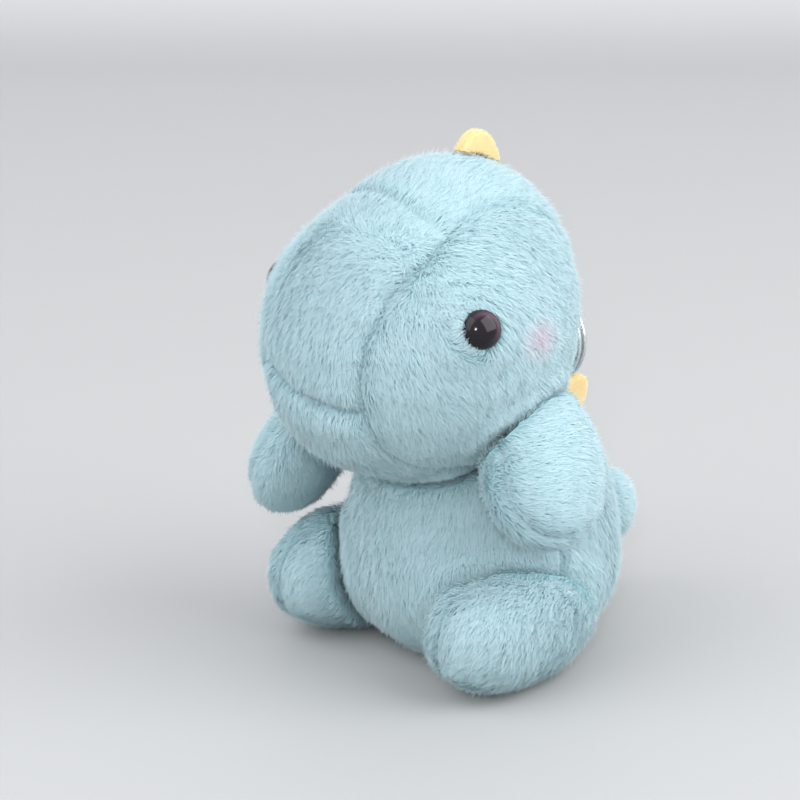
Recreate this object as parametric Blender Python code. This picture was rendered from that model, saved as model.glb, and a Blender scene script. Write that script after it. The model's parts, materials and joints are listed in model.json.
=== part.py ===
"""Small sitting plush dinosaur with a key ring, about 115 mm tall.

Front is -Y, the toy's left is +X and up is +Z; it sits on Z = 0 with the origin on its seat.
The sewn fabric panels are shells around their stuffing, parted at the seams. The head rides
in a dish in the body's top, and the limbs end just off the body they are sewn to.
"""

import math

import bmesh
import bpy
from mathutils import Matrix, Vector

MM = 0.001
GAP = 0.35 * MM  # between pieces that touch
SKIN = 2.2 * MM  # plush fabric with its pile pressed flat
FILL = SKIN + 0.7 * MM  # how deep the stuffing starts

HEAD_CENTRE = Vector((0, -18, 78.4)) * MM
HEAD_RADIUS = 35.0 * MM
# Direction, height and sharpness of each swelling or hollow on the round head
HEAD_SWELLINGS = (
    ((0, -0.86, -0.50), 4.6 * MM, 6),
    ((0, -0.75, 0.66), -2.0 * MM, 6),
    ((0.60, -0.30, 0.74), -3.8 * MM, 4),
    ((-0.60, -0.30, 0.74), -3.8 * MM, 4),
    ((0, 0.15, 0.99), 0.6 * MM, 8),
    ((0, 0.80, 0.60), 3.2 * MM, 4),
    ((0.66, 0.75, 0), -1.1 * MM, 6),
    ((-0.66, 0.75, 0), -1.1 * MM, 6),
    ((1, 0, 0), 1.2 * MM, 4),
    ((-1, 0, 0), 1.2 * MM, 4),
)
GUSSET_HALF = 18.0 * MM  # half width of the strip over the crown
GUSSET_TAPER = -0.08  # sideways lean of its seams, narrower at the muzzle
FOREHEAD_SEAM = Vector((0, -13, 30))  # directions from the head's centre to the cross seams
MOUTH_SEAM = Vector((0, -34, -9))
NAPE_SEAM = Vector((0, 24, -24))
NOD_DISH = HEAD_RADIUS + 1.2 * MM

BODY_CENTRE = Vector((0, 0.2, 19.5)) * MM
BODY_RADII = Vector((31.8, 32.2, 47.5)) * MM
BODY_BELOW = 25.0 * MM  # the egg is shorter below its widest place
BELLY_SEAM_Y = -5.0 * MM
SEAT_SEAM_Z = 4.0 * MM

ARM_RADII = Vector((9.8, 14.6, 22.0)) * MM  # half thickness and width, and the reach to the shoulder
ARM_BELOW = 16.5 * MM  # the rounded hand is shorter
# Middle of each paddle, and how far it turns to the front, leans in and tips back
ARM_PLACES = {
    "left": (Vector((35.0, -15.5, 49.5)) * MM, 14, 30, -14),
    "right": (Vector((-38.6, -20.5, 39.5)) * MM, 14, 26, -32),
}
SHOULDER = Vector((25.0, -4.0, 53.0)) * MM
ARM_POSES = (-8, 0, 6)

LEG_CENTRE = Vector((25.3, -14.8, 14.1)) * MM
LEG_RADII = Vector((13.8, 24.0, 14.5)) * MM
LEG_BLUNT = 2.2  # a plain ellipsoid is 2, a box is far more
LEG_TURN = 6  # degrees that each foot points outwards
HIP = Vector((20.0, 2.0, 14.0)) * MM
LEG_POSES = (-3, 0, 6, 12)

TAIL_CENTRE = Vector((0, 35.5, 22.4)) * MM
TAIL_RADII = Vector((10.0, 12.5, 11.0)) * MM
TAIL_ROOT = Vector((0, 28.0, 22.4)) * MM
TAIL_POSES = (-12, 0, 12)

EYE_RADIUS = 4.1 * MM
EYE_DOME = 2.5 * MM
EYE_DIRECTION = Vector((32.2, -12.6, 5.0))
SHANK_RADIUS = 1.3 * MM
SHANK_LENGTH = 8.0 * MM
WASHER_RADIUS = 4.8 * MM
WASHER_TOP = -3.85 * MM  # below the eye's back face
WASHER_THICK = 1.0 * MM

SPIKE_THICK = 3.6 * MM
SPIKE_SINK = 4.0 * MM  # how far an outline starts below the surface it stands on
SPIKES = {  # which way from the form's centre, then width, height and how far the top leans forward
    "crown_spike": ((0, 17, 33.0), 13.0 * MM, 5.0 * MM, 1.6 * MM),
    "occiput_spike": ((0, 32, 14), 9.5 * MM, 4.6 * MM, 0.8 * MM),
    "nape_spike": ((0, 0.77, 0.63), 11.0 * MM, 9.0 * MM, 1.2 * MM),
    "back_spike": ((0, 0.90, 0.43), 9.0 * MM, 6.0 * MM, 0.6 * MM),
}

RING_RADIUS = 9.6 * MM
RING_WIRE = 1.2 * MM
RING_STEP = 1.55 * MM  # between its two turns
RING_TOP = Vector((0, 21.9, 76.2)) * MM
TAB_WIDTH = 6.0 * MM
TAB_THICK = 0.7 * MM
TAB_LOOP = 2.1 * MM  # inner radius of the ribbon's loop
TAB_ROOT = Vector((0, 18.3, 79.8)) * MM

BODY_PIVOTS = {
    "torso": Vector(),
    "head": HEAD_CENTRE,
    "arm_left": SHOULDER,
    "arm_right": SHOULDER * Vector((-1, 1, 1)),
    "leg_left": HIP,
    "leg_right": HIP * Vector((-1, 1, 1)),
    "tail": TAIL_ROOT,
    "hang_tab": TAB_ROOT,
    "key_ring": RING_TOP,
}

MATERIALS = {
    "plush": ((0.43, 0.66, 0.72), 0.95, 0.0),
    "felt": ((0.93, 0.80, 0.42), 0.9, 0.0),
    "eye": ((0.01, 0.01, 0.012), 0.08, 0.0),
    "washer": ((0.85, 0.85, 0.83), 0.45, 0.0),
    "stuffing": ((0.90, 0.90, 0.88), 1.0, 0.0),
    "ribbon": ((0.55, 0.74, 0.78), 0.7, 0.0),
    "steel": ((0.60, 0.62, 0.62), 0.25, 1.0),
}


class Egg:
    """An ellipsoid that may be turned, blunt, cut by the floor and shorter below its widest place."""

    def __init__(self, centre, radii, turn=None, below=None, floor=None, blunt=2.0):
        self.centre = centre
        self.blunt = blunt
        self.radii = radii
        self.turn = turn or Matrix.Identity(3)
        self.below = below or radii.z
        self.floor = floor

    def point(self, direction, inset=0.0):
        height = self.radii.z if direction.z > 0 else self.below
        reach = Vector((self.radii.x - inset, self.radii.y - inset, height - inset))
        size = sum(abs(part) ** self.blunt for part in direction) ** (1 / self.blunt)
        return self.centre + self.turn @ (reach * direction / size)


class Head:
    """A ball with soft swellings, about its own centre."""

    centre = HEAD_CENTRE
    floor = None

    def point(self, direction, inset=0.0):
        reach = HEAD_RADIUS - inset
        for towards, height, sharpness in HEAD_SWELLINGS:
            facing = max(0.0, direction.dot(Vector(towards).normalized()))
            reach += height * facing**sharpness
        return self.centre + direction * reach

    def normal(self, direction):
        """The outward normal where the head's surface lies in this direction."""
        side = direction.orthogonal().normalized() * 0.02
        across = direction.cross(side)
        middle = self.point(direction)
        first = self.point((direction + side).normalized()) - middle
        second = self.point((direction + across).normalized()) - middle
        return first.cross(second).normalized()


def clear_scene():
    for obj in list(bpy.data.objects):
        bpy.data.objects.remove(obj, do_unlink=True)


def make_material(name):
    colour, roughness, metallic = MATERIALS[name]
    material = bpy.data.materials.new(name)
    material.use_nodes = True
    shader = material.node_tree.nodes["Principled BSDF"]
    shader.inputs["Base Color"].default_value = (*colour, 1.0)
    shader.inputs["Roughness"].default_value = roughness
    shader.inputs["Metallic"].default_value = metallic
    return material


def make_pivot(body):
    """An empty on the body's joint, which carries the body's pieces."""
    empty = bpy.data.objects.new(body + "_pivot", None)
    empty.location = BODY_PIVOTS[body]
    empty.empty_display_size = 0.01
    bpy.context.scene.collection.objects.link(empty)
    return empty


def add_object(name, bm):
    bmesh.ops.recalc_face_normals(bm, faces=bm.faces)
    mesh = bpy.data.meshes.new(name)
    bm.to_mesh(mesh)
    bm.free()
    mesh.shade_smooth()
    mesh.set_sharp_from_angle(angle=math.radians(40))
    obj = bpy.data.objects.new(name, mesh)
    bpy.context.scene.collection.objects.link(obj)
    return obj


def add_piece(name, bm, material, body):
    """A finished piece, modelled in place and hung on its body's pivot."""
    obj = add_object(name, bm)
    obj.data.materials.append(materials[material])
    obj.data.transform(Matrix.Translation(-BODY_PIVOTS[body]))
    obj.parent = pivots[body]
    return obj


def add_cutter(name, bm):
    obj = add_object(name, bm)
    obj.hide_render = True
    obj.display_type = "WIRE"
    return obj


def cut(obj, *cutters):
    for cutter in cutters:
        modifier = obj.modifiers.new(cutter.name, "BOOLEAN")
        modifier.operation = "DIFFERENCE"
        modifier.solver = "EXACT"
        modifier.object = cutter


def halve(bm, point, normal):
    """Keeps the side that the normal points away from, and closes the cut."""
    found = bmesh.ops.bisect_plane(
        bm,
        geom=bm.verts[:] + bm.edges[:] + bm.faces[:],
        dist=1e-7,
        plane_co=point,
        plane_no=normal,
        clear_outer=True,
    )
    edges = [item for item in found["geom_cut"] if isinstance(item, bmesh.types.BMEdge)]
    bmesh.ops.edgeloop_fill(bm, edges=edges)


def rounded(form, inset=0.0, segments=20, rings=12):
    """The closed surface of a form, taken in by the inset, or grown by a negative one."""
    bm = bmesh.new()
    bmesh.ops.create_uvsphere(bm, u_segments=segments, v_segments=rings, radius=1.0)
    for vert in bm.verts:
        vert.co = form.point(vert.co.normalized(), inset)
    if form.floor is not None and inset >= 0:
        halve(bm, Vector((0, 0, form.floor + inset)), Vector((0, 0, -1)))
    return bm


def panel(name, form, body, seams, core, segments=20, rings=12):
    """One sewn panel: the part of the form's shell on the near side of each seam plane."""
    bm = rounded(form, 0.0, segments, rings)
    for point, normal in seams:
        normal = Vector(normal).normalized()
        halve(bm, Vector(point) - normal * GAP / 2, normal)
    obj = add_piece(name, bm, "plush", body)
    cut(obj, core)
    return obj


def turned(profile, segments, axis_point=None, axis=None):
    """A profile of (radius, height) points turned about an axis, its first and last on it or not."""
    bm = bmesh.new()
    verts = [bm.verts.new((radius, 0, height)) for radius, height in profile]
    closed = profile[0][0] > 0
    ends = zip(verts, verts[1:] + verts[:1]) if closed else zip(verts, verts[1:])
    edges = [bm.edges.new(pair) for pair in ends]
    bmesh.ops.spin(
        bm,
        geom=verts + edges,
        axis=(0, 0, 1),
        cent=(0, 0, 0),
        angle=math.tau,
        steps=segments,
        use_merge=True,
    )
    bmesh.ops.remove_doubles(bm, verts=bm.verts, dist=1e-6)
    if axis is not None:
        turn = axis.to_track_quat("Z", "Y").to_matrix().to_4x4()
        bmesh.ops.transform(bm, matrix=Matrix.Translation(axis_point) @ turn, verts=bm.verts)
    return bm


def posed_cutter(name, form, inset, pivot, axis, angle):
    """A form as a limb meets it when the limb has turned by the angle about its joint."""
    bm = rounded(form, inset, 24, 14)
    turn = Matrix.Rotation(math.radians(-angle), 4, axis)
    about = Matrix.Translation(pivot) @ turn @ Matrix.Translation(-pivot)
    bmesh.ops.transform(bm, matrix=about, verts=bm.verts)
    return add_cutter(f"{name}_{angle}", bm)


def build_head(head):
    core = add_cutter("cut_head_core", rounded(head, SKIN, 24, 14))
    seams = {}
    for name, direction in (
        ("forehead", FOREHEAD_SEAM),
        ("mouth", MOUTH_SEAM),
        ("nape", NAPE_SEAM),
    ):
        seams[name] = Vector((1, 0, 0)).cross(direction).normalized()
    sides = []
    for side in (1, -1):
        sides.append((HEAD_CENTRE + Vector((side * GUSSET_HALF, 0, 0)), (side, GUSSET_TAPER, 0)))
    strip = (
        ("crown_gusset", "nape", "forehead"),
        ("muzzle_panel", "forehead", "mouth"),
        ("chin_panel", "mouth", "nape"),
    )
    for name, start, end in strip:
        wedge = [(HEAD_CENTRE, -seams[start]), (HEAD_CENTRE, seams[end])]
        panel(name, head, "head", sides + wedge, core, 24, 14)

    stuffing = add_piece("head_stuffing", rounded(head, FILL, 20, 12), "stuffing", "head")
    for side, name in ((1, "left"), (-1, "right")):
        point, normal = sides[0] if side > 0 else sides[1]
        cheek = panel("cheek_" + name, head, "head", [(point, -Vector(normal))], core, 24, 14)
        bore, pocket = build_eye(name, head, side)
        cut(cheek, bore)
        cut(stuffing, pocket)


def build_eye(name, head, side):
    """The glossy safety eye with its shank and the washer that locks it inside the cheek."""
    direction = (EYE_DIRECTION * Vector((side, 1, 1))).normalized()
    outwards = head.normal(direction)
    seat = head.point(direction) + outwards * GAP
    steps = 6
    profile = []
    for step in range(steps + 1):
        angle = math.radians(90) * step / steps
        profile.append((EYE_RADIUS * math.sin(angle), EYE_DOME * math.cos(angle)))
    profile += [
        (EYE_RADIUS, -0.3 * MM),
        (SHANK_RADIUS, -0.3 * MM),
        (SHANK_RADIUS, -SHANK_LENGTH),
        (0, -SHANK_LENGTH),
    ]
    seat += outwards * 0.3 * MM
    add_piece("eye_" + name, turned(profile, 24, seat, outwards), "eye", "head")

    hole = SHANK_RADIUS + GAP
    low = WASHER_TOP - WASHER_THICK
    washer = [(hole, WASHER_TOP), (WASHER_RADIUS, WASHER_TOP), (WASHER_RADIUS, low), (hole, low)]
    add_piece("eye_washer_" + name, turned(washer, 20, seat, outwards), "washer", "head")

    reach = 4 * MM
    bore = [(0, reach), (hole, reach), (hole, -reach), (0, -reach)]
    wide = WASHER_RADIUS + GAP
    deep = SHANK_LENGTH + GAP
    pocket = [
        (0, reach),
        (wide, reach),
        (wide, low - GAP),
        (hole, low - GAP),
        (hole, -deep),
        (0, -deep),
    ]
    return (
        add_cutter("cut_eye_bore_" + name, turned(bore, 16, seat, outwards)),
        add_cutter("cut_eye_pocket_" + name, turned(pocket, 20, seat, outwards)),
    )


def build_body(body):
    core = add_cutter("cut_body_core", rounded(body, SKIN, 24, 16))
    bm = bmesh.new()
    bmesh.ops.create_uvsphere(bm, u_segments=32, v_segments=20, radius=NOD_DISH)
    bmesh.ops.translate(bm, vec=HEAD_CENTRE, verts=bm.verts)
    dish = add_cutter("cut_nod_dish", bm)

    front = ((0, BELLY_SEAM_Y, 0), (0, 1, 0))
    back = ((0, BELLY_SEAM_Y, 0), (0, -1, 0))
    above = ((0, 0, SEAT_SEAM_Z), (0, 0, -1))
    below = ((0, 0, SEAT_SEAM_Z), (0, 0, 1))
    left = ((0, 0, 0), (-1, 0, 0))
    right = ((0, 0, 0), (1, 0, 0))
    cut(panel("belly_panel", body, "torso", [front, above], core, 24, 16), dish)
    cut(panel("back_panel_left", body, "torso", [back, above, left], core, 24, 16), dish)
    cut(panel("back_panel_right", body, "torso", [back, above, right], core, 24, 16), dish)
    panel("seat_panel", body, "torso", [below], core, 24, 16)
    stuffing = add_piece("body_stuffing", rounded(body, FILL, 20, 14), "stuffing", "torso")
    cut(stuffing, dish)


def build_limb(name, form, seam, halves, clear):
    """Two panels and their stuffing, held off what the limb meets as it turns."""
    core = add_cutter(f"cut_{name}_core", rounded(form, SKIN))
    for half, way in halves:
        cut(panel(f"{name}_{half}", form, name, [(form.centre, seam * way)], core), *clear)
    filling = add_piece(f"{name}_stuffing", rounded(form, FILL, 16, 10), "stuffing", name)
    cut(filling, *clear)


def leg_form(side):
    turn = Matrix.Rotation(math.radians(side * LEG_TURN), 3, "Z")
    return Egg(LEG_CENTRE * Vector((side, 1, 1)), LEG_RADII, turn, floor=0.0, blunt=LEG_BLUNT)


def build_arm(name, side, head, body):
    centre, yaw, lean, pitch = ARM_PLACES[name]
    turn = (
        Matrix.Rotation(math.radians(-side * yaw), 3, "Z")
        @ Matrix.Rotation(math.radians(-side * lean), 3, "Y")
        @ Matrix.Rotation(math.radians(pitch), 3, "X")
    )
    arm = Egg(centre, ARM_RADII, turn, below=ARM_BELOW)
    pivot = BODY_PIVOTS["arm_" + name]
    clear = []
    for angle in ARM_POSES:
        clear.append(posed_cutter(f"cut_body_arm_{name}", body, -GAP, pivot, "X", -angle))
        clear.append(posed_cutter(f"cut_head_arm_{name}", head, -GAP, pivot, "X", -angle))
        clear.append(posed_cutter(f"cut_leg_arm_{name}", leg_form(side), -GAP, pivot, "X", -angle))
    hip = BODY_PIVOTS["leg_" + name]
    for angle in LEG_POSES:
        turned_leg = posed_cutter(f"cut_splay_{name}", leg_form(side), -GAP, hip, "Z", -side * angle)
        clear.append(turned_leg)
    halves = (("outer", -side), ("inner", side))
    build_limb("arm_" + name, arm, turn @ Vector((1, 0, 0)), halves, clear)


def build_leg(name, side, body):
    leg = leg_form(side)
    pivot = BODY_PIVOTS["leg_" + name]
    clear = []
    for angle in LEG_POSES:
        clear.append(posed_cutter(f"cut_body_leg_{name}", body, -GAP, pivot, "Z", side * angle))
    halves = (("outer", -side), ("inner", side))
    build_limb("leg_" + name, leg, leg.turn @ Vector((1, 0, 0)), halves, clear)


def build_tail(body):
    tail = Egg(TAIL_CENTRE, TAIL_RADII)
    clear = []
    for angle in TAIL_POSES:
        clear.append(posed_cutter("cut_body_tail", body, -GAP, TAIL_ROOT, "Z", angle))
    build_limb("tail", tail, Vector((1, 0, 0)), (("left", -1), ("right", 1)), clear)


def build_spike(name, body, form):
    """A felt spike on the centre line: a rounded outline, thick through X, seated on the form."""
    towards, width, height, lean = SPIKES[name]
    direction = Vector(towards).normalized()
    foot = form.point(direction)
    up = direction if isinstance(form, Head) else Vector(
        (0, (foot - form.centre).y / form.radii.y**2, (foot - form.centre).z / form.radii.z**2)
    ).normalized()
    along = Vector((1, 0, 0)).cross(up)
    bm = bmesh.new()
    steps = 12
    tall = height + SPIKE_SINK
    outline = []
    for step in range(steps + 1):
        angle = math.pi * step / steps
        across = width / 2 * math.copysign(abs(math.cos(angle)) ** 1.15, math.cos(angle))
        share = math.sin(angle) ** 0.8
        shift = across + lean * share**3
        outline.append(bm.verts.new(foot + along * shift + up * (tall * share - SPIKE_SINK)))
    face = bm.faces.new(outline)
    bmesh.ops.translate(bm, vec=(-SPIKE_THICK / 2, 0, 0), verts=bm.verts)
    grown = bmesh.ops.extrude_face_region(bm, geom=[face])
    moved = [item for item in grown["geom"] if isinstance(item, bmesh.types.BMVert)]
    bmesh.ops.translate(bm, vec=(SPIKE_THICK, 0, 0), verts=moved)
    spike = add_piece(name, bm, "felt", body)
    bevel = spike.modifiers.new("soft_edge", "BEVEL")
    bevel.width = 0.9 * MM
    bevel.segments = 2
    bevel.limit_method = "ANGLE"
    cut(spike, add_cutter("cut_under_" + name, rounded(form, -GAP, 24, 14)))


def build_hang_tab():
    """A ribbon loop sewn into the back of the head, which the ring hangs in."""
    towards = (TAB_ROOT - RING_TOP).normalized()
    reach = (TAB_ROOT - RING_TOP).length
    bm = bmesh.new()
    loops = []
    for radius, tip in ((TAB_LOOP, reach - 1.2 * MM), (TAB_LOOP + TAB_THICK, reach)):
        circle = bmesh.ops.create_circle(bm, cap_ends=False, segments=28, radius=1.0)["verts"]
        for vert in circle:
            out = Vector((0, vert.co.x, vert.co.y))
            facing = max(0.0, out.dot(towards)) ** 6
            vert.co = RING_TOP + out * (radius + (tip - radius) * facing)
        loops.extend({edge for vert in circle for edge in vert.link_edges})
    bmesh.ops.bridge_loops(bm, edges=loops)
    bmesh.ops.translate(bm, vec=(-TAB_WIDTH / 2, 0, 0), verts=bm.verts)
    grown = bmesh.ops.extrude_face_region(bm, geom=bm.faces[:])
    moved = [item for item in grown["geom"] if isinstance(item, bmesh.types.BMVert)]
    bmesh.ops.translate(bm, vec=(TAB_WIDTH, 0, 0), verts=moved)
    add_piece("hang_tab", bm, "ribbon", "hang_tab")


def build_key_ring():
    """A split ring: two turns of wire side by side, which cross over once at the bottom."""
    cross = math.radians(22)
    start = cross + math.radians(5)
    end = 2 * math.tau - start
    count = 76
    curve = bpy.data.curves.new("key_ring", "CURVE")
    curve.dimensions = "3D"
    curve.bevel_depth = RING_WIRE / 2
    curve.bevel_resolution = 2
    curve.use_fill_caps = True
    spline = curve.splines.new("POLY")
    spline.points.add(count - 1)
    for index, point in enumerate(spline.points):
        angle = start + (end - start) * index / (count - 1)
        share = min(1.0, max(0.0, (angle - math.tau + cross) / (2 * cross)))
        share = share * share * (3 - 2 * share)
        x = RING_RADIUS * math.sin(angle)
        z = -RING_RADIUS * (1 + math.cos(angle))
        point.co = (x, RING_STEP * (share - 0.5), z, 1.0)
    ring = bpy.data.objects.new("key_ring", curve)
    ring.data.materials.append(materials["steel"])
    ring.parent = pivots["key_ring"]
    bpy.context.scene.collection.objects.link(ring)


clear_scene()
materials = {name: make_material(name) for name in MATERIALS}
pivots = {body: make_pivot(body) for body in BODY_PIVOTS}
head = Head()
body = Egg(BODY_CENTRE, BODY_RADII, below=BODY_BELOW, floor=0.0)

build_head(head)
build_body(body)
for name, side in (("left", 1), ("right", -1)):
    build_arm(name, side, head, body)
    build_leg(name, side, body)
build_tail(body)
build_spike("crown_spike", "head", head)
build_spike("occiput_spike", "head", head)
build_spike("nape_spike", "torso", body)
build_spike("back_spike", "torso", body)
build_hang_tab()
build_key_ring()
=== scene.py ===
"""The looks of a small plush dinosaur keychain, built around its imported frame.

Each body of the frame gets one smooth skin, cast on its panels. The skin is puffed up between its
seams, drawn in along them and parted into panels. Each panel is a knitted backing with a pile.
"""
import json
import math

import bmesh
import bpy
import numpy as np
from mathutils import Matrix, Vector
from mathutils.bvhtree import BVHTree
from mathutils.kdtree import KDTree


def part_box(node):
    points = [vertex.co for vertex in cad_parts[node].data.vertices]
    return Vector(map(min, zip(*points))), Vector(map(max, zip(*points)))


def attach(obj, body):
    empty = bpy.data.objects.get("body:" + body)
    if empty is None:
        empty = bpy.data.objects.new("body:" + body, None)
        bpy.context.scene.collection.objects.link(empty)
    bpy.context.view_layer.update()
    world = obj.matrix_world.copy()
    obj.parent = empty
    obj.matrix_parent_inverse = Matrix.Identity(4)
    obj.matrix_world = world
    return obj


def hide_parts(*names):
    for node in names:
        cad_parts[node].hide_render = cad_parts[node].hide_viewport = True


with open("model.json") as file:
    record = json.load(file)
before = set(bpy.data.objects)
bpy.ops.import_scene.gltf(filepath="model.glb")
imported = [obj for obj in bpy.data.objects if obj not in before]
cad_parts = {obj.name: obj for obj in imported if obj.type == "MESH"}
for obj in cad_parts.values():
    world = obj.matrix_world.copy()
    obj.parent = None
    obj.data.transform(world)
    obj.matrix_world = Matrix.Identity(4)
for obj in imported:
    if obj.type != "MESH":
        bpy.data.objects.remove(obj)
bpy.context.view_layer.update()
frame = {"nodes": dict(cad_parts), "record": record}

MM = 0.001
NODES = frame["nodes"]
BODIES = frame["record"]["behaviour"]["bodies"]

PILE_DEPTH = 1.9 * MM  # from the outline of the plush down to its knitted backing
JOINT_DEPTH = 0.5 * MM  # the same where bodies touch and the pile is pressed
BACKING = 0.7 * MM
PILE_LENGTH = 3.4 * MM
PILE_WIDTH = 0.145 * MM
PILE_PER_MM2 = 21
STRAND_RISE = (0.58, 0.88)  # the angle in radians at which a strand leaves the skin
STRAND_BEND = 0.55  # how far it bends back down at its knee
STRAY_SHARE = 0.05
ROOT_DEPTH = 0.2 * MM
PUFF_LIMIT = 1.2 * MM  # the furthest that the simulation moves a skin
PRESSURE = 4
STIFFNESS = 25
SIM_SCALE = 12  # the cloth solver works best on things about a metre across
SIM_FRAMES = 20
CREASE_WIDTH = 1.3 * MM  # the narrow line of a seam
HOLLOW_WIDTH = 3.6 * MM  # the soft hollow around it
MOUTH_DROOP = 0.8 * MM  # how much lower the mouth's corners lie than its middle
MOUTH_SLANT = 5.0 * MM  # and how much lower its left corner is than its middle, as it is sewn askew
ARM_SEAM_SHIFT = 4.0 * MM  # the seam round a paddle lies nearer its outer face
LEG_SEAM_SHIFT = 3.0 * MM  # the left foot's seam lies nearer its inner side
TUCK = 6.0 * MM  # how far the pile goes on into the joints between bodies
TOUCHING = 1.5 * MM  # a skin nearer to another body than this lies in a joint
FILLING_INSET = 4.0 * MM  # from the outline of the plush down to the loose fibre
EYE_CLEARING = 4.4 * MM  # no strand grows nearer to an eye's middle than this
EYE_BED = 8.5 * MM  # how far round an eye the skin stands up to the eye's back
SHANK_RADIUS = 1.3 * MM
SHANK_RIDGES = 5
BLUSH_OFFSET = np.array([0.0, 13.6, -3.2]) * MM  # from an eye's middle to its blush
FELT_NAP = 0.75 * MM
FELT_NAP_WIDTH = 0.11 * MM
FELT_PER_MM2 = 45

# Which way the pile of the plainer panels is combed, by how their names start
NAPS = {
    "cheek": (0.0, 0.5, -0.85),
    "arm_left": (0.5, 0.8, -0.15),
    "arm_right": (-0.35, 0.35, -0.85),
    "leg": (0.0, -0.75, -0.5),
    "tail": (0.0, 0.8, -0.5),
}
BODY_NAP = (0.0, 0.1, -1.0)
# Muzzle and crown are combed down the front below the first of these heights, backwards above the
# second, and without order halfway; both are angles up from the level of the head's middle
PARTING = (math.radians(20), math.radians(76))

# How finely each skin is cut, as cuts of a cube's edge
SKIN_CUTS = {
    "head": 63,
    "torso": 55,
    "arm_left": 31,
    "arm_right": 31,
    "leg_left": 31,
    "leg_right": 31,
    "tail": 31,
}
FILLING_CUTS = 15

# The body that each felt spike is sewn to
SPIKES = {
    "crown_spike": "head",
    "occiput_spike": "head",
    "nape_spike": "torso",
    "back_spike": "torso",
}

# How deep each body's seams draw the skin in, and the deeper ones of the head
SEAM_DEPTHS = {"head": 0.8 * MM, "torso": 0.6 * MM, "tail": 0.5 * MM}
LIMB_SEAM_DEPTH = 0.6 * MM
DEEP_SEAMS = {
    frozenset(("muzzle_panel", "chin_panel")): 2.0 * MM,
    frozenset(("muzzle_panel", "cheek_left")): 1.2 * MM,
    frozenset(("muzzle_panel", "cheek_right")): 1.2 * MM,
    frozenset(("muzzle_panel", "crown_gusset")): 0.25 * MM,
}

CAMERA_AZIMUTH = math.radians(47)
CAMERA_ELEVATION = math.radians(17)
CAMERA_TARGET = Vector((0, -6, 50)) * MM
CAMERA_DISTANCE = 0.52

# Each light's azimuth and elevation in degrees, distance and size in metres, and power in watts
LIGHTS = {
    "window": (112, 36, 1.3, 1.2, 18),
    "fill": (-15, 40, 1.5, 1.5, 14),
    "catch": (44, 24, 0.7, 0.08, 1.2),
}


class Socket:
    """A node's output that arithmetic can be done on."""

    def __init__(self, paint, socket):
        self.paint = paint
        self.socket = socket

    def math(self, operation, *others):
        return self.paint.node("ShaderNodeMath", {"operation": operation}, (self, *others))

    def __add__(self, other):
        return self.math("ADD", other)

    def __sub__(self, other):
        return self.math("SUBTRACT", other)

    def __rsub__(self, other):
        return self * -1 + other

    def __mul__(self, other):
        return self.math("MULTIPLY", other)

    def __pow__(self, other):
        return self.math("POWER", other)

    def clamp(self):
        return self.math("MINIMUM", 1.0).math("MAXIMUM", 0.0)

    __radd__ = __add__
    __rmul__ = __mul__


class Paint:
    """A material with one Principled shader; words given to it are that shader's constants."""

    def __init__(self, name, **constants):
        self.material = bpy.data.materials.new(name)
        self.material.use_nodes = True
        self.tree = self.material.node_tree
        self.surface = self.tree.nodes["Principled BSDF"]
        for word, value in constants.items():
            self.put(self.surface.inputs[word.replace("_", " ")], value)

    def put(self, into, value):
        if isinstance(value, Socket):
            self.tree.links.new(value.socket, into)
        elif hasattr(value, "__len__") and len(value) == 3 and into.type == "RGBA":
            into.default_value = (*value, 1.0)
        else:
            into.default_value = value

    def node(self, kind, settings=None, inputs=(), output=0):
        made = self.tree.nodes.new(kind)
        for word, value in (settings or {}).items():
            setattr(made, word, value)
        pairs = inputs.items() if isinstance(inputs, dict) else enumerate(inputs)
        for key, value in pairs:
            self.put(made.inputs[key], value)
        return Socket(self, made.outputs[output])

    def mix(self, share, first, second, blend="MIX"):
        settings = {"data_type": "RGBA", "blend_type": blend}
        return self.node("ShaderNodeMix", settings, {0: share, 6: first, 7: second}, 2)

    def noise(self, scale, detail=2.0, where=None):
        where = where or self.node("ShaderNodeTexCoord", output="Object")
        return self.node("ShaderNodeTexNoise", None, {"Vector": where, "Scale": scale, "Detail": detail})

    def bump(self, height, distance, strength=1.0):
        words = {"Height": height, "Distance": distance, "Strength": strength}
        self.colour_in("Normal", self.node("ShaderNodeBump", None, words))

    def colour_in(self, word, value):
        self.put(self.surface.inputs[word], value)

    def let_through(self, share, colour):
        """Lets some of the light behind a thin piece shine through it."""
        behind = self.node("ShaderNodeBsdfTranslucent", None, {"Color": colour})
        front = Socket(self, self.surface.outputs[0])
        both = self.node("ShaderNodeMixShader", None, (share, front, behind))
        self.put(self.tree.nodes["Material Output"].inputs["Surface"], both)


def smoothstep(low, high, value):
    """Rises smoothly from 0 at low to 1 at high."""
    share = np.clip((value - low) / (high - low), 0.0, 1.0)
    return share * share * (3 - 2 * share)


def waves(points, size, seed, count=10):
    """Smooth noise vectors, about one across, whose bumps are about as wide as size."""
    rng = np.random.default_rng(seed)
    total = np.zeros_like(points)
    for _ in range(count):
        turn = rng.normal(size=3)
        turn *= rng.uniform(0.6, 1.5) * math.tau / (size * np.linalg.norm(turn))
        lean = rng.normal(size=3)
        total += np.sin(points @ turn + rng.uniform(0, math.tau))[:, None] * lean
    return total / math.sqrt(count)


def unit(vectors):
    return vectors / np.maximum(np.linalg.norm(vectors, axis=-1, keepdims=True), 1e-12)


def tree_of(names):
    """A search tree of the CAD faces of some nodes."""
    bm = bmesh.new()
    for name in names:
        bm.from_mesh(NODES[name].data)
    tree = BVHTree.FromBMesh(bm)
    bm.free()
    return tree


def distances(tree, points):
    return np.array([tree.find_nearest(Vector(point))[3] for point in points])


def positions(bm):
    return np.array([vert.co for vert in bm.verts])


def normals(bm):
    bm.normal_update()
    return np.array([vert.normal for vert in bm.verts])


def move_to(bm, points):
    for vert, point in zip(bm.verts, points):
        vert.co = point


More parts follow.
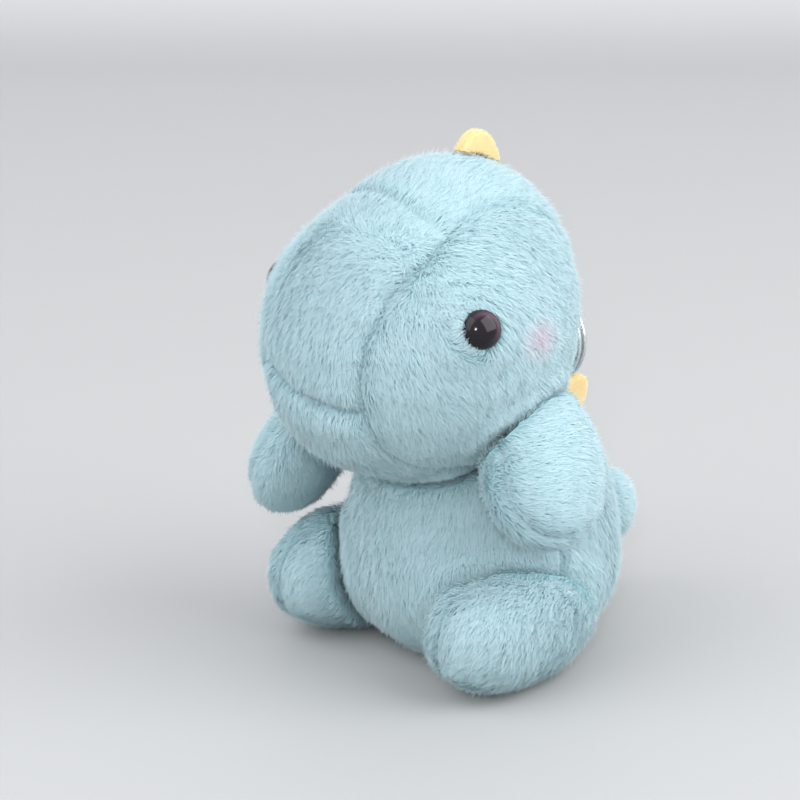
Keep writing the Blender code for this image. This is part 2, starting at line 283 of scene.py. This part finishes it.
def round_cage(cuts):
    """A unit ball of even quads, made by blowing up a cut cube."""
    bm = bmesh.new()
    bmesh.ops.create_cube(bm, size=2.0)
    bmesh.ops.subdivide_edges(bm, edges=bm.edges, cuts=cuts, use_grid_fill=True)
    for vert in bm.verts:
        vert.co = Vector([math.tan(part * math.pi / 4) for part in vert.co]).normalized()
    return bm


def cast_skin(names, centre, cuts, rounds):
    """A smooth closed skin over some CAD nodes, which all lie in plain view of the centre."""
    tree = tree_of(names)
    far = 0.2
    tilt = Vector((0.004, -0.003, 0.005))
    bm = round_cage(cuts)
    for vert in bm.verts:
        outwards = vert.co.normalized()
        reach = 0.0
        for way in (outwards, (outwards + tilt).normalized(), (outwards - tilt).normalized()):
            hit = tree.ray_cast(centre + way * far, -way, far)[0]
            if hit is not None:
                reach = max(reach, (hit - centre).length)
        vert.co = centre + outwards * reach
    every_axis = {"use_axis_x": True, "use_axis_y": True, "use_axis_z": True}
    for _ in range(rounds):
        bmesh.ops.smooth_vert(bm, verts=bm.verts, factor=0.5, **every_axis)
    return bm


def middle(node):
    """The centre of a CAD node's box."""
    low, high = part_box(node)
    return (low + high) / 2


class Skin:
    """The fabric of one body: its mesh, which panel each face belongs to, and where its seams are."""

    def __init__(self, body, cuts, rounds=6):
        self.body = body
        self.panels = [name for name in BODIES[body] if is_panel(name)]
        self.filling = next(name for name in BODIES[body] if "stuffing" in name)
        self.bm = self.cast(cuts, rounds)
        points = positions(self.bm)
        self.find_panels(points)
        self.find_joints(points)
        open_share = smoothstep(0.8 * MM, 5.0 * MM, self.shelter)[:, None]
        inwards = JOINT_DEPTH + (PILE_DEPTH - JOINT_DEPTH) * open_share
        if body == "head":
            inwards *= 1 - 0.85 * np.exp(-((eye_distance(points) / EYE_BED) ** 4))[:, None]
        move_to(self.bm, points - normals(self.bm) * inwards)

    def cast(self, cuts, rounds):
        return cast_skin(self.panels + [self.filling], middle(self.filling), cuts, rounds)

    def find_panels(self, points):
        """Gives each face its panel, and each point how far its seam is, how deep, and which way off."""
        asked = self.shifted(points)
        trees = [tree_of([panel]) for panel in self.panels]
        hits = [[tree.find_nearest(Vector(point)) for point in asked] for tree in trees]
        found = np.array([[hit[3] for hit in row] for row in hits])
        order = np.argsort(found, axis=0)
        ranks = np.take_along_axis(found, order, axis=0)
        self.seam = np.sqrt(np.maximum(ranks[1] ** 2 - ranks[0] ** 2, 0))
        beyond = np.array([hits[second][index][0] for index, second in enumerate(order[1])])
        self.away = asked - beyond
        usual = SEAM_DEPTHS.get(self.body, LIMB_SEAM_DEPTH)
        pairs = [frozenset(self.panels[i] for i in pair) for pair in order[:2].T]
        self.depth = np.array([DEEP_SEAMS.get(pair, usual) for pair in pairs])
        self.panel_of = np.array([
            np.bincount(order[0][[vert.index for vert in face.verts]]).argmax()
            for face in self.bm.faces
        ])

    def shifted(self, points):
        """Where to ask for the panel of each point, where a seam lies off the CAD's plain cut."""
        asked = points.copy()
        if self.body == "head":
            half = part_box("muzzle_panel")[1].x
            aside = (points[:, 0] / half).clip(-1.2, 1.2)
            drop = MOUTH_DROOP * aside**2 + MOUTH_SLANT * aside
            asked[:, 2] += drop * smoothstep(0, 20 * MM, middle("head_stuffing").y - points[:, 1])
        if self.body == "leg_left":
            asked[:, 0] += LEG_SEAM_SHIFT
        if self.body.startswith("arm"):
            outwards = middle(self.body + "_outer") - middle(self.body + "_inner")
            asked -= np.array(outwards.normalized()) * ARM_SEAM_SHIFT
        return asked

    def find_joints(self, points):
        """How far each point is from the other bodies, and how deep it lies in a joint between them."""
        others = [n for body, names in BODIES.items() if body != self.body for n in names if is_panel(n)]
        self.shelter = distances(tree_of(others), points)
        open_places = points[self.shelter > TOUCHING]
        tree = KDTree(len(open_places))
        for index, place in enumerate(open_places):
            tree.insert(place, index)
        tree.balance()
        self.tuck = np.array([tree.find(point)[2] for point in points])

    def puff(self, points):
        """Moves the skin towards the simulated points, no further than the limit."""
        start = positions(self.bm)
        move = points - start
        length = np.linalg.norm(move, axis=1, keepdims=True)
        move_to(self.bm, start + move * np.minimum(1, PUFF_LIMIT / np.maximum(length, 1e-9)))

    def draw_in(self):
        """Pulls the skin inwards along its seams."""
        furrow = self.depth * np.exp(-((self.seam / CREASE_WIDTH) ** 2))
        furrow += 0.6 * self.depth * np.exp(-((self.seam / HOLLOW_WIDTH) ** 2))
        move_to(self.bm, positions(self.bm) - normals(self.bm) * furrow[:, None])


def eye_distance(points):
    """How far each point is from the nearer eye's middle."""
    eyes = [np.array(middle("eye_" + side)) for side in ("left", "right")]
    return np.min([np.linalg.norm(points - eye, axis=1) for eye in eyes], axis=0)


def is_panel(name):
    """Whether a CAD node is a panel of plush."""
    return not any(word in name for word in ("stuffing", "eye", "spike", "tab", "ring"))


def inflate(skins):
    """Blows the skins up like sewn fabric over stuffing; the seams stay where they are."""
    made = []
    for skin in skins:
        mesh = bpy.data.meshes.new("inflating")
        skin.bm.to_mesh(mesh)
        mesh.transform(Matrix.Scale(SIM_SCALE, 4))
        obj = bpy.data.objects.new("inflating", mesh)
        bpy.context.scene.collection.objects.link(obj)
        pinned = obj.vertex_groups.new(name="seams")
        held = (skin.seam < 0.9 * MM) | (skin.shelter < TOUCHING)
        pinned.add([int(index) for index in np.nonzero(held)[0]], 1.0, "REPLACE")
        cloth = obj.modifiers.new("cloth", "CLOTH").settings
        cloth.vertex_group_mass = "seams"
        cloth.use_pressure = True
        cloth.uniform_pressure_force = PRESSURE
        cloth.effector_weights.gravity = 0
        cloth.tension_stiffness = STIFFNESS
        cloth.compression_stiffness = STIFFNESS
        made.append(obj)
    for number in range(1, SIM_FRAMES + 1):
        bpy.context.scene.frame_set(number)
    graph = bpy.context.evaluated_depsgraph_get()
    for skin, obj in zip(skins, made):
        evaluated = obj.evaluated_get(graph)
        points = np.empty(len(obj.data.vertices) * 3)
        evaluated.data.vertices.foreach_get("co", points)
        skin.puff(points.reshape(-1, 3) / SIM_SCALE)
        bpy.data.objects.remove(obj)
    bpy.context.scene.frame_set(1)


def backing_of(skin, index):
    """The knitted backing of one panel, as a thin closed wall."""
    bm = skin.bm.copy()
    bm.faces.ensure_lookup_table()
    others = [face for face in bm.faces if skin.panel_of[face.index] != index]
    bmesh.ops.delete(bm, geom=others, context="FACES")
    inwards = [(vert.co - vert.normal * BACKING) for vert in bm.verts]
    grown = bmesh.ops.extrude_face_region(bm, geom=bm.faces[:], use_keep_orig=True)["geom"]
    for vert, place in zip((item for item in grown if isinstance(item, bmesh.types.BMVert)), inwards):
        vert.co = place
    bmesh.ops.recalc_face_normals(bm, faces=bm.faces)
    return bm


def scatter(bm, wanted, rng, per_mm2):
    """Picks even random places on the wanted quads; the result reads the mesh's values there."""
    quads = np.array([[vert.index for vert in face.verts] for face in bm.faces])[wanted]
    corners = np.concatenate([quads[:, [0, 1, 2]], quads[:, [0, 2, 3]]])
    points = positions(bm)
    first, second, third = (points[corners[:, k]] for k in range(3))
    area = np.linalg.norm(np.cross(second - first, third - first), axis=1) / 2
    count = int(area.sum() / MM**2 * per_mm2)
    steps = (np.arange(count) + rng.random(count)) / count
    chosen = corners[np.searchsorted(np.cumsum(area) / area.sum(), steps).clip(0, len(area) - 1)]
    share = rng.random((count, 2))
    flip = share.sum(axis=1) > 1
    share[flip] = 1 - share[flip]
    weights = np.column_stack([1 - share.sum(axis=1), share])

    def at(values):
        return np.einsum("nk,nk...->n...", weights, values[chosen])

    return at


def comb(roots, normal, flow, rng):
    """The way each strand leans: its nap, a slow and a fine wander, and a little chance."""
    combed = flow / np.maximum(1, np.linalg.norm(flow, axis=1, keepdims=True))
    combed += 0.22 * waves(roots, 16 * MM, 1) + 0.10 * waves(roots, 3.0 * MM, 2)
    combed += 0.16 * rng.normal(size=(len(roots), 3))
    combed -= (combed * normal).sum(axis=1, keepdims=True) * normal
    return unit(combed)


def rise_of(roots, lifted, rng):
    """The angle at which each strand leaves the skin; a few stray ones stand up more."""
    count = len(roots)
    rise = rng.uniform(*STRAND_RISE, count) + 0.05 * waves(roots, 2.5 * MM, 3)[:, 0] + lifted
    rise += np.where(rng.random(count) < STRAY_SHARE, rng.uniform(0.2, 0.7, count), 0.0)
    return rise.clip(0.2, 1.45)[:, None]


def strands(roots, normal, flow, lengths, width, rng, lifted=0.0):
    """Bent slender kites, each with a root, two knee corners and a tip, and their shading normals."""
    count = len(roots)
    combed = comb(roots, normal, flow, rng)
    rise = rise_of(roots, lifted, rng)
    fall = (rise - STRAND_BEND).clip(0.1, 1.3)
    lower = combed * np.cos(rise) + normal * np.sin(rise)
    upper = combed * np.cos(fall) + normal * np.sin(fall)
    across = unit(np.cross(combed, normal))
    spin = rng.normal(scale=0.3, size=count).clip(-0.9, 0.9)[:, None]
    side = across * np.cos(spin) + np.cross(across, lower) * np.sin(spin)
    half = side * (width * rng.uniform(0.7, 1.3, count) / 2)[:, None]
    knee = roots + lower * lengths[:, None] * 0.5
    tip = knee + upper * lengths[:, None] * 0.5
    corners = np.stack([roots - normal * ROOT_DEPTH, knee + half, knee - half, tip], axis=1)
    # The pile under the seat lies flat on the table
    corners[..., 2] = np.maximum(corners[..., 2], (0.1 * MM * rng.random(count))[:, None])
    shade = unit(0.12 * unit(np.cross(side, upper)) + 0.9 * normal)
    return corners, shade


def fabric_mesh(name, backing, corners, shade, uv):
    """One mesh of a closed backing and its strands, with the map that the colours follow."""
    backing.verts.ensure_lookup_table()
    base = positions(backing)
    base_normals = normals(backing)
    base_loops = [vert.index for face in backing.faces for vert in face.verts]
    base_sizes = [len(face.verts) for face in backing.faces]
    count = len(corners)
    # Root to knee and knee to tip, both facing away from the skin
    strand_loops = (len(base) + 4 * np.arange(count)[:, None] + np.array([0, 1, 2, 2, 1, 3])).ravel()
    loops = np.concatenate([base_loops, strand_loops]).astype(np.int32)
    sizes = np.concatenate([base_sizes, np.tile([3, 3], count)]).astype(np.int32)
    points = np.concatenate([base, corners.reshape(-1, 3)])
    mesh = bpy.data.meshes.new(name)
    mesh.vertices.add(len(points))
    mesh.vertices.foreach_set("co", points.astype(np.float32).ravel())
    mesh.loops.add(len(loops))
    mesh.loops.foreach_set("vertex_index", loops)
    mesh.polygons.add(len(sizes))
    starts = np.concatenate([[0], np.cumsum(sizes)[:-1]])
    mesh.polygons.foreach_set("loop_start", starts.astype(np.int32))
    mesh.update(calc_edges=True)
    mesh.shade_smooth()
    base_uv = np.tile([0.25, 0.0], (len(base_loops), 1))
    heights = np.array([0.0, 0.5, 0.5, 0.5, 0.5, 1.0])
    strand_uv = np.stack([np.repeat(uv, 6), np.tile(heights, count)], axis=1)
    layer = mesh.uv_layers.new(name="OFBake")
    layer.uv.foreach_set("vector", np.concatenate([base_uv, strand_uv]).astype(np.float32).ravel())
    custom = np.concatenate([base_normals, np.repeat(shade, 4, axis=0)])
    mesh.normals_split_custom_set_from_vertices(custom.astype(np.float32))
    backing.free()
    return mesh


def add_piece(name, mesh, material, body, slot, *nodes):
    """Puts a finished mesh on its body, in place of the CAD nodes that it stands for."""
    mesh.materials.clear()
    mesh.materials.append(material)
    obj = bpy.data.objects.new(name, mesh)
    bpy.context.scene.collection.objects.link(obj)
    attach(obj, body)
    if nodes:
        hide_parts(*nodes)
    return obj


def blush_at(points):
    """How pink the pile is: strongest behind each eye, fading out within a few millimetres."""
    pink = np.zeros(len(points))
    for side in ("left", "right"):
        spot = np.array(middle("eye_" + side)) + BLUSH_OFFSET
        reach = np.linalg.norm((points - spot) / np.array([20, 3.6, 3.0]) / MM, axis=1)
        pink = np.maximum(pink, np.exp(-(reach**2)))
    return pink


def nap(name, roots, normal):
    """Which way the pile of a panel is combed at each root."""
    over = np.cross([1.0, 0.0, 0.0], normal)  # forwards over the top and down the front
    if name == "chin_panel":
        return over
    if name in ("muzzle_panel", "crown_gusset"):
        around = roots - np.array(middle("head_stuffing"))
        height = np.arctan2(around[:, 2], -around[:, 1])
        parted = smoothstep(*PARTING, height)
        parted[around[:, 1] > 0] = 1.0
        return over * (1 - 2 * parted)[:, None]
    way = next((way for start, way in NAPS.items() if name.startswith(start)), BODY_NAP)
    return np.tile(way, (len(roots), 1))


def pile_length(seam, shelter, rng):
    """How long each strand is: shorter beside seams and in joints."""
    length = PILE_LENGTH * rng.uniform(0.8, 1.15, len(seam))
    length *= 0.62 + 0.38 * smoothstep(0, 2.5 * MM, seam)
    return length * (0.75 + 0.25 * smoothstep(1.0 * MM, 5 * MM, shelter))


def pile_tone(roots, edge, rng):
    """Where each strand reads the colours: aqua in the lower half of the scale, blush in the upper;
    strands beside a seam read darker, as painted shade in its crease.
    """
    tone = 0.5 + 0.06 * rng.normal(size=len(roots)) + 0.10 * waves(roots, 6 * MM, 5)[:, 0]
    # Painted shade: strands beside a seam are darkened, for the shade in the seam's crease
    tone -= 0.25 * edge[:, 0]
    tone = tone.clip(0.02, 0.98) * 0.49
    pink = blush_at(roots) * rng.uniform(0.5, 1.1, len(roots))
    return np.where(pink > 0.05, 0.5 + 0.5 * pink.clip(0, 1), tone)


def plush_panel(skin, index, number):
    """One panel of a skin: its backing and its pile, in one piece."""
    name = skin.panels[index]
    rng = np.random.default_rng(100 + number)
    quads = [[vert.index for vert in face.verts] for face in skin.bm.faces]
    tucked = np.array([skin.tuck[quad].min() > TUCK for quad in quads])
    at = scatter(skin.bm, (skin.panel_of == index) & ~tucked, rng, PILE_PER_MM2)
    roots = at(positions(skin.bm))
    normal = unit(at(normals(skin.bm)))
    seam = at(skin.seam)
    edge = 1 - smoothstep(0.3 * MM, 3.0 * MM, seam)[:, None]
    flow = nap(name, roots, normal) + 0.3 * edge * unit(at(skin.away))
    length = pile_length(seam, at(skin.shelter), rng)
    keep = np.ones(len(roots), bool)
    lashes = 0.0
    if skin.body == "head":
        keep = eye_distance(roots) > EYE_CLEARING
        flow, lashes = lean_on_eyes(roots, flow)
    corners, shade = strands(roots, normal, flow, length, PILE_WIDTH, rng, 0.35 * lashes)
    tone = pile_tone(roots, edge, rng)
    mesh = fabric_mesh(name + "_plush", backing_of(skin, index), corners[keep], shade[keep], tone[keep])
    obj = add_piece(name + "_plush", mesh, materials["plush"], skin.body, "plush", name)


def filling_piece(skin):
    """The loose fibre inside one body, a lumpy form a little smaller than its backing."""
    bm = skin.cast(FILLING_CUTS, 1)
    inwards = FILLING_INSET + 0.4 * MM * waves(positions(bm), 7 * MM, 9)[:, :1]
    move_to(bm, positions(bm) - normals(bm) * inwards)
    obj = new_piece(skin.filling + "_fibre", bm, "stuffing", skin.body, "stuffing", skin.filling)


def new_piece(name, bm, material, body, slot, *nodes):
    """The same for a bmesh, with smooth shading and the name of its material."""
    mesh = bpy.data.meshes.new(name)
    bm.to_mesh(mesh)
    bm.free()
    mesh.shade_smooth()
    return add_piece(name, mesh, materials[material], body, slot, *nodes)


def smoothed_copy(node, voxel, rounds):
    """A copy of a CAD node in small even quads, with its corners softened."""
    bm = bmesh.new()
    bm.from_mesh(NODES[node].data)
    bmesh.ops.remove_doubles(bm, verts=bm.verts, dist=0.001 * MM)
    mesh = bpy.data.meshes.new(node + "_copy")
    bm.to_mesh(mesh)
    bm.free()
    obj = bpy.data.objects.new(node + "_copy", mesh)
    bpy.context.scene.collection.objects.link(obj)
    remesh = obj.modifiers.new("remesh", "REMESH")
    remesh.mode = "VOXEL"
    remesh.voxel_size = voxel
    smooth = obj.modifiers.new("smooth", "SMOOTH")
    smooth.iterations = rounds
    evaluated = obj.evaluated_get(bpy.context.evaluated_depsgraph_get())
    bm = bmesh.new()
    bm.from_mesh(evaluated.data)
    bpy.data.objects.remove(obj)
    return bm


def felt_spike(name, body, number):
    """A spike of two layers of short-napped felt, sewn round the edge and turned."""
    bm = smoothed_copy(name, 0.35 * MM, 4)
    points, outwards = positions(bm), normals(bm)
    seam = 0.35 * MM * np.exp(-((points[:, 0] / (0.35 * MM)) ** 2))
    move_to(bm, points - outwards * seam[:, None] - outwards * 0.25 * MM)
    rng = np.random.default_rng(300 + number)
    at = scatter(bm, np.ones(len(bm.faces), bool), rng, FELT_PER_MM2)
    roots, normal = at(positions(bm)), unit(at(normals(bm)))
    flow = np.tile([0.0, 0.7, -0.4], (len(roots), 1)) + 0.8 * rng.normal(size=(len(roots), 3))
    length = FELT_NAP * rng.uniform(0.7, 1.2, len(roots))
    corners, shade = strands(roots, normal, flow, length, FELT_NAP_WIDTH, rng)
    tone = (0.5 + 0.2 * rng.normal(size=len(roots))).clip(0.02, 0.98)
    mesh = fabric_mesh(name + "_felt", bm, corners, shade, tone)
    add_piece(name + "_felt", mesh, materials["felt"], body, "felt", name)


def lean_on_eyes(roots, flow):
    """Turns the pile in front of each eye so that it leans over the eye's rim."""
    lashes = np.zeros(len(roots))
    flow = flow.copy()
    for side in ("left", "right"):
        to_eye = np.array(middle("eye_" + side)) - roots
        far = np.linalg.norm(to_eye, axis=1)
        facing = unit(to_eye) @ unit(np.array([0.0, 0.75, 0.65]))
        share = smoothstep(0.1, 0.8, facing) * (1 - smoothstep(4.8 * MM, 7.0 * MM, far))
        flow += (1.8 * share)[:, None] * (unit(to_eye) - flow)
        lashes = np.maximum(lashes, share)
    return flow, lashes


def eye_frame(node):
    """A safety eye's foot and axis, its radius, and how far dome and shank reach from the foot."""
    points = np.array([vert.co for vert in NODES[node].data.vertices])
    centre = points.mean(axis=0)
    spread, ways = np.linalg.eigh(np.cov((points - centre).T))
    odd = np.argmax(np.abs(spread - np.median(spread)))
    axis = ways[:, odd]
    if axis @ (centre - np.array(middle("head_stuffing"))) < 0:
        axis = -axis
    heights = points @ axis
    aside = points - centre - np.outer((points - centre) @ axis, axis)
    wide = np.linalg.norm(aside, axis=1)
    back = heights[wide > wide.max() - 0.1 * MM].min()
    foot = centre + axis * (back - centre @ axis)
    return Vector(foot), Vector(axis), wide.max(), heights.max() - back, back - heights.min()


def eye_profile(radius, dome, shank):
    """Half of a safety eye's outline as (width, height) pairs, from its top to its shank's end."""
    rim = 0.3 * MM
    profile = []
    for step in range(19):
        angle = math.radians(90) * step / 18
        profile.append((radius * math.sin(angle), rim + (dome - rim) * math.cos(angle)))
    profile += [(radius * 0.985, 0.1 * MM), (radius * 0.95, 0.0), (SHANK_RADIUS, 0.0)]
    for step in range(SHANK_RIDGES):
        top = -shank * (0.35 + 0.6 * step / SHANK_RIDGES)
        profile += [(SHANK_RADIUS, top), (SHANK_RADIUS - 0.2 * MM, top - 0.3 * MM)]
    return profile + [(SHANK_RADIUS - 0.2 * MM, -shank), (0, -shank)]


def iris_and_reflection_at(points, foot, axis, radius):
    """How brown the eye is: a soft ring, partly a brown iris, made strongest towards the top and back as
    a painted reflection of the light from there.
    """
    points = points - foot
    along = points @ axis
    across = points - np.outer(along, axis)
    wide = np.linalg.norm(across, axis=1) / radius
    # Painted reflection: the ring is made stronger towards the top and back, where the reflected light
    # shows
    behind = 0.5 + 0.5 * unit(across) @ unit(np.array([0.0, 0.8, 0.6]))
    return np.exp(-(((wide - 0.74) / 0.12) ** 2)) * behind**2 * (along > 0)


def safety_eye(side):
    """A polished dome with a rounded rim and a ridged shank, in one moulding."""
    foot, axis, radius, dome, shank = eye_frame("eye_" + side)
    bm = bmesh.new()
    verts = [bm.verts.new((wide, 0, high)) for wide, high in eye_profile(radius, dome, shank)]
    edges = [bm.edges.new(pair) for pair in zip(verts, verts[1:])]
    bmesh.ops.spin(
        bm, geom=verts + edges, cent=(0, 0, 0), axis=(0, 0, 1), angle=math.tau, steps=56, use_merge=True
    )
    bmesh.ops.remove_doubles(bm, verts=bm.verts, dist=0.001 * MM)
    bmesh.ops.recalc_face_normals(bm, faces=bm.faces)
    place = Matrix.Translation(foot) @ axis.to_track_quat("Z", "Y").to_matrix().to_4x4()
    bmesh.ops.transform(bm, matrix=place, verts=bm.verts)
    iris_and_reflection = iris_and_reflection_at(positions(bm), np.array(foot), np.array(axis), radius)
    obj = new_piece("eye_" + side + "_dome", bm, "eye", "head", "eye", "eye_" + side)
    layer = obj.data.attributes.new("iris_and_reflection", "FLOAT", "POINT")
    layer.data.foreach_set("value", iris_and_reflection.astype(np.float32))
    obj.data.set_sharp_from_angle(angle=math.radians(50))


def fine_ring():
    """The split ring, its wire made round."""
    bm = smoothed_copy("key_ring", 0.18 * MM, 3)
    new_piece("key_ring_wire", bm, "steel", "key_ring", "steel", "key_ring")


def ribbon_tab():
    """The folded tab, its edges softened."""
    bm = smoothed_copy("hang_tab", 0.2 * MM, 1)
    new_piece("hang_tab_ribbon", bm, "ribbon", "hang_tab", "ribbon", "hang_tab")


def plush_paint():
    """Aqua pile, painted darker and more saturated at its roots as painted shade deep in the pile, with
    the blush in the upper half of the map.
    """
    paint = Paint("plush", Roughness=0.9, Sheen_Weight=0.3, Sheen_Roughness=0.5)
    spot = paint.node("ShaderNodeTexCoord", output="UV")
    tone = paint.node("ShaderNodeSeparateXYZ", None, (spot,), 0)
    along = paint.node("ShaderNodeSeparateXYZ", None, (spot,), 1)
    shade = (tone * 2).clamp()
    pink = ((tone - 0.5) * 2).clamp()
    # Painted shade: the roots are darker and more saturated than the tips, for the shade deep in the
    # pile
    shaded_root = paint.mix(shade, (0.35, 0.635, 0.69), (0.43, 0.70, 0.75))
    tip = paint.mix(shade, (0.59, 0.745, 0.785), (0.71, 0.825, 0.86))
    colour = paint.mix(along ** 0.8, shaded_root, tip)
    colour = paint.mix(pink * 0.55, colour, (0.80, 0.48, 0.60))
    paint.colour_in("Base Color", colour)
    paint.let_through(0.42, colour)
    return paint.material


def stuffing_paint():
    paint = Paint("stuffing", Roughness=1.0, Sheen_Weight=0.3)
    fibre = paint.noise(900, 6)
    paint.colour_in("Base Color", paint.mix(fibre, (0.78, 0.78, 0.76), (0.90, 0.90, 0.88)))
    paint.bump(fibre + paint.noise(250, 3), 0.4 * MM)
    return paint.material


def felt_paint():
    paint = Paint("felt", Roughness=0.9, Sheen_Weight=0.25, Sheen_Roughness=0.5)
    spot = paint.node("ShaderNodeTexCoord", output="UV")
    tone = paint.node("ShaderNodeSeparateXYZ", None, (spot,), 0)
    along = paint.node("ShaderNodeSeparateXYZ", None, (spot,), 1)
    tip = paint.mix(tone, (0.97, 0.83, 0.48), (0.98, 0.90, 0.62))
    colour = paint.mix(along, (0.95, 0.74, 0.36), tip)
    paint.colour_in("Base Color", colour)
    paint.let_through(0.3, colour)
    return paint.material


def eye_paint():
    paint = Paint("eye", Specular_IOR_Level=0.2, Coat_Weight=0.15, Coat_Roughness=0.02)
    iris_and_reflection = paint.node("ShaderNodeAttribute", {"attribute_name": "iris_and_reflection"}, output=2)
    # The mauve-brown ring is partly a brown iris and partly a painted reflection
    paint.colour_in("Base Color", paint.mix(iris_and_reflection, (0.006, 0.005, 0.007), (0.10, 0.055, 0.08)))
    paint.colour_in("Roughness", 0.10 + 0.05 * paint.noise(600, 3))
    return paint.material


def steel_paint():
    paint = Paint("steel", Metallic=1.0)
    marks = paint.noise(500, 5)
    paint.colour_in("Base Color", paint.mix(marks, (0.55, 0.57, 0.57), (0.68, 0.70, 0.70)))
    paint.colour_in("Roughness", 0.2 + 0.15 * marks)
    paint.bump(marks, 0.02 * MM)
    return paint.material


def washer_paint():
    paint = Paint("washer")
    marks = paint.noise(700, 3)
    paint.colour_in("Base Color", paint.mix(marks, (0.80, 0.80, 0.78), (0.88, 0.88, 0.86)))
    paint.colour_in("Roughness", 0.45 + 0.15 * marks)
    paint.bump(marks, 0.03 * MM)
    return paint.material


def ribbon_paint():
    """Plain woven tape: threads across the width over threads along it."""
    paint = Paint("ribbon", Roughness=0.7, Sheen_Weight=0.3)
    where = paint.node("ShaderNodeTexCoord", output="Object")
    parts = [paint.node("ShaderNodeSeparateXYZ", None, (where,), axis) for axis in range(3)]
    pitch = math.tau / (0.35 * MM)
    width = (parts[0] * pitch).math("SINE")
    length = ((parts[1] + parts[2]) * pitch).math("SINE")
    weave = width * length * 0.5 + 0.5
    tone = paint.mix(weave, (0.42, 0.68, 0.74), (0.60, 0.82, 0.86))
    paint.colour_in("Base Color", paint.mix(paint.noise(300, 3) * 0.4, tone, (0.70, 0.88, 0.90)))
    paint.bump(weave, 0.06 * MM)
    return paint.material


def stage_set():
    """A pale table with a soft backdrop, as one swept sheet, painted lighter as it rises: painted light
    on the backdrop.
    """
    bm = bmesh.new()
    front, rear, bend, rise, width = -1.6, 0.9, 0.3, 1.3, 4.0
    profile = [bm.verts.new((-width / 2, front, 0)), bm.verts.new((-width / 2, rear, 0))]
    for step in range(1, 9):
        angle = math.radians(90) * step / 8
        back = rear + bend * math.sin(angle)
        profile.append(bm.verts.new((-width / 2, back, bend * (1 - math.cos(angle)))))
    profile.append(bm.verts.new((-width / 2, rear + bend, rise)))
    edges = [bm.edges.new(pair) for pair in zip(profile, profile[1:])]
    grown = bmesh.ops.extrude_edge_only(bm, edges=edges)
    moved = [item for item in grown["geom"] if isinstance(item, bmesh.types.BMVert)]
    bmesh.ops.translate(bm, vec=(width, 0, 0), verts=moved)
    bmesh.ops.transform(bm, matrix=Matrix.Rotation(CAMERA_AZIMUTH, 4, "Z"), verts=bm.verts)
    bmesh.ops.recalc_face_normals(bm, faces=bm.faces)
    mesh = bpy.data.meshes.new("table")
    bm.to_mesh(mesh)
    mesh.shade_smooth()
    paint = Paint("table", Roughness=0.6)
    place = paint.node("ShaderNodeTexCoord", output="Object")
    high = paint.node("ShaderNodeSeparateXYZ", None, (place,), 2)
    # Painted light: the backdrop is painted far lighter than the table, for the light that falls on it
    paint.colour_in("Base Color", paint.mix((high * 8).clamp(), (0.37, 0.38, 0.38), (0.90, 0.88, 0.91)))
    mesh.materials.append(paint.material)
    obj = bpy.data.objects.new("table", mesh)
    bpy.context.scene.collection.objects.link(obj)


def add_camera():
    data = bpy.data.cameras.new("camera")
    data.lens = 105.3
    data.shift_x = -0.0775
    data.shift_y = 0.0375
    data.clip_start = 0.01
    away = Vector((
        math.sin(CAMERA_AZIMUTH) * math.cos(CAMERA_ELEVATION),
        -math.cos(CAMERA_AZIMUTH) * math.cos(CAMERA_ELEVATION),
        math.sin(CAMERA_ELEVATION),
    ))
    obj = bpy.data.objects.new("camera", data)
    obj.location = CAMERA_TARGET + away * CAMERA_DISTANCE
    obj.rotation_euler = away.to_track_quat("Z", "Y").to_euler()
    bpy.context.scene.collection.objects.link(obj)
    bpy.context.scene.camera = obj


def add_light(name, azimuth, elevation, distance, size, power):
    """A soft square light that looks at the toy; azimuth 0 is its front, 90 its left."""
    data = bpy.data.lights.new(name, "AREA")
    data.size = size
    data.energy = power
    around, up = math.radians(azimuth), math.radians(elevation)
    away = Vector((math.sin(around) * math.cos(up), -math.cos(around) * math.cos(up), math.sin(up)))
    obj = bpy.data.objects.new(name, data)
    obj.location = CAMERA_TARGET + away * distance
    obj.rotation_euler = away.to_track_quat("Z", "Y").to_euler()
    bpy.context.scene.collection.objects.link(obj)


def light_set():
    world = bpy.data.worlds.new("studio")
    world.use_nodes = True
    background = world.node_tree.nodes["Background"]
    background.inputs["Color"].default_value = (0.97, 0.97, 1.0, 1)
    background.inputs["Strength"].default_value = 1.0
    bpy.context.scene.world = world
    for name, setting in LIGHTS.items():
        add_light(name, *setting)
    bpy.context.scene.view_settings.view_transform = "Standard"


materials = {
    "plush": plush_paint(),
    "stuffing": stuffing_paint(),
    "felt": felt_paint(),
    "eye": eye_paint(),
    "steel": steel_paint(),
    "washer": washer_paint(),
    "ribbon": ribbon_paint(),
}
skins = [Skin(body, cuts) for body, cuts in SKIN_CUTS.items()]
inflate(skins)
number = 0
for skin in skins:
    skin.draw_in()
    filling_piece(skin)
    for index in range(len(skin.panels)):
        plush_panel(skin, index, number)
        number += 1
for number, (name, body) in enumerate(SPIKES.items()):
    felt_spike(name, body, number)
for side in ("left", "right"):
    safety_eye(side)
    NODES["eye_washer_" + side].material_slots[0].material = materials["washer"]
fine_ring()
ribbon_tab()
stage_set()
add_camera()
light_set()
